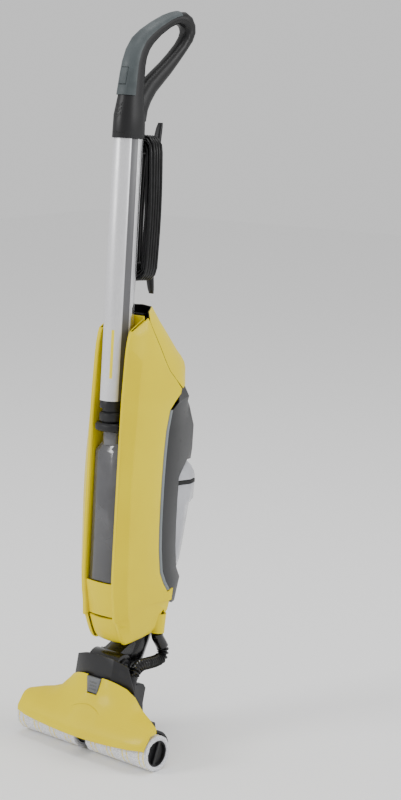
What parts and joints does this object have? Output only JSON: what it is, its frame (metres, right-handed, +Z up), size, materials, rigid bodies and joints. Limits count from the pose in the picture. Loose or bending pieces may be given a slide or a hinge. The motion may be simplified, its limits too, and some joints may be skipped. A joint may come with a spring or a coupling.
{
  "type": "wet dry floor scrubber",
  "caption": "Upright wet dry floor scrubber with driven twin rollers, a tilting and swivelling neck, lift-out water tanks, an oval tube and a loop handle.",
  "frame": {"origin": "on the floor under the middle of the machine's own width and depth", "axes": "+Z up, -Y is the front where the rollers are, +Y is the user's side, +X runs along the rollers"},
  "size_m": [0.3, 0.2966, 1.2179],
  "materials": {
    "yellow_shell": "glossy bright yellow",
    "black_plastic": "satin black",
    "dark_grey_plastic": "satin dark grey",
    "grey_softtouch": "soft-touch grey",
    "silver_tube": "satin anodised",
    "steel": "machined",
    "smoke_tank": "smoked, see-through",
    "clear_tank": "clear, see-through",
    "microfibre": "white pile with thin yellow stripes",
    "rubber": "black",
    "circuit_board": "green board",
    "pale_plastic": "light grey",
    "cord_sheath": "black flexible sheath",
    "hose_plastic": "black"
  },
  "bodies": {
    "head": {"head_base": "dark_grey_plastic", "gearbox_housing": "black_plastic", "drive_motor": "steel", "neck_yoke": "dark_grey_plastic", "hinge_pin": "steel", "left_rear_glide": "rubber", "right_rear_glide": "rubber", "left_scraper": "rubber", "right_scraper": "rubber", "left_roller_bearing": "steel", "right_roller_bearing": "steel", "left_lower_hose": "hose_plastic", "right_lower_hose": "hose_plastic"},
    "drive_shaft": {"roller_shaft": "steel"},
    "left_roller": {"left_roller_core": "grey_softtouch", "left_roller_sleeve": "microfibre", "left_roller_end_cap": "black_plastic"},
    "right_roller": {"right_roller_core": "grey_softtouch", "right_roller_sleeve": "microfibre", "right_roller_end_cap": "black_plastic"},
    "idler": {"idler_gear": "black_plastic"},
    "pinion": {"motor_pinion": "steel"},
    "cover": {"roller_cover": "yellow_shell"},
    "latch": {"cover_latch": "grey_softtouch"},
    "neck_joint": {"neck": "black_plastic"},
    "upright": {"main_housing": "yellow_shell", "bottom_cover": "yellow_shell", "rear_top_cover": "yellow_shell", "left_side_strip": "grey_softtouch", "right_side_strip": "grey_softtouch", "rear_frame": "dark_grey_plastic", "water_valve": "black_plastic", "tube_socket": "black_plastic", "suction_motor": "steel", "fan_shroud": "black_plastic", "motor_mount": "black_plastic", "control_board": "circuit_board", "suction_duct": "rubber", "main_tube": "silver_tube", "handle_body": "black_plastic", "handle_grip": "grey_softtouch", "lower_cord_hook": "black_plastic", "cord_hank": "cord_sheath", "cord_gland": "rubber", "hood_insert": "black_plastic", "cord_lead": "cord_sheath", "mains_plug": "black_plastic", "left_upper_hose": "hose_plastic", "right_upper_hose": "hose_plastic"},
    "dirty_tank": {"dirty_water_tank": "smoke_tank", "dirty_tank_lid": "black_plastic", "tank_float": "pale_plastic", "float_cage": "black_plastic"},
    "tank_clamp": {"tank_lock": "black_plastic"},
    "fresh_tank": {"fresh_water_tank": "clear_tank", "fresh_tank_seal": "rubber", "fresh_tank_cap": "clear_tank"},
    "fan": {"suction_fan": "pale_plastic"},
    "swivel_hook": {"upper_cord_hook": "black_plastic"},
    "switch_key": {"power_switch": "grey_softtouch"}
  },
  "joints": [
    {"name": "shaft_spin", "type": "hinge", "parent": "head", "child": "drive_shaft", "pos_m": [0, -0.10783, 0.03], "axis": [1, 0, 0], "continuous": true},
    {"name": "left_roller_off", "type": "slide", "parent": "drive_shaft", "child": "left_roller", "axis": [-1, 0, 0], "range_m": [0, 0.145]},
    {"name": "right_roller_off", "type": "slide", "parent": "drive_shaft", "child": "right_roller", "axis": [1, 0, 0], "range_m": [0, 0.145]},
    {"name": "idler_spin", "type": "hinge", "parent": "head", "child": "idler", "pos_m": [0, -0.078, 0.03314], "axis": [1, 0, 0], "continuous": true},
    {"name": "pinion_spin", "type": "hinge", "parent": "head", "child": "pinion", "pos_m": [0, -0.05562, 0.03549], "axis": [1, 0, 0], "continuous": true},
    {"name": "cover_lift", "type": "slide", "parent": "head", "child": "cover", "axis": [0, -0.6, 0.8], "range_m": [0, 0.1]},
    {"name": "latch_press", "type": "slide", "parent": "cover", "child": "latch", "axis": [0, 1, 0], "range_m": [0, 0.0018], "stiffness_N_per_m": 1200},
    {"name": "neck_tilt", "type": "hinge", "parent": "head", "child": "neck_joint", "pos_m": [0, -0.06283, 0.142], "axis": [-1, 0, 0], "range_deg": [0, 55], "deforming": ["left_lower_hose", "right_lower_hose"]},
    {"name": "neck_swivel", "type": "hinge", "parent": "neck_joint", "child": "upright", "pos_m": [0, 0.00017, 0.172], "axis": [0, 0.5, 0.866], "range_deg": [-35, 35], "deforming": ["left_upper_hose", "right_upper_hose"]},
    {"name": "dirty_tank_out", "type": "slide", "parent": "upright", "child": "dirty_tank", "axis": [0, -0.9962, 0.0872], "range_m": [0, 0.09]},
    {"name": "tank_clamp_up", "type": "slide", "parent": "upright", "child": "tank_clamp", "axis": [0, 0.0872, 0.9962], "range_m": [0, 0.006]},
    {"name": "fresh_tank_out", "type": "slide", "parent": "upright", "child": "fresh_tank", "axis": [0, 0.9962, -0.0872], "range_m": [0, 0.1]},
    {"name": "fan_spin", "type": "hinge", "parent": "upright", "child": "fan", "pos_m": [0, -0.00511, 0.38294], "axis": [0, 0.0872, 0.9962], "continuous": true},
    {"name": "hook_swivel", "type": "hinge", "parent": "upright", "child": "swivel_hook", "pos_m": [0, 0.03727, 0.99357], "axis": [0, 0.9962, -0.0872], "range_deg": [0, 180]},
    {"name": "switch_press", "type": "slide", "parent": "upright", "child": "switch_key", "axis": [0, 0.9962, -0.0872], "range_m": [0, 0.0016], "stiffness_N_per_m": 900}
  ],
  "couplings": [
    {"joint": "idler_spin", "follows": "shaft_spin", "ratio": -1},
    {"joint": "pinion_spin", "follows": "shaft_spin", "ratio": 2}
  ]
}
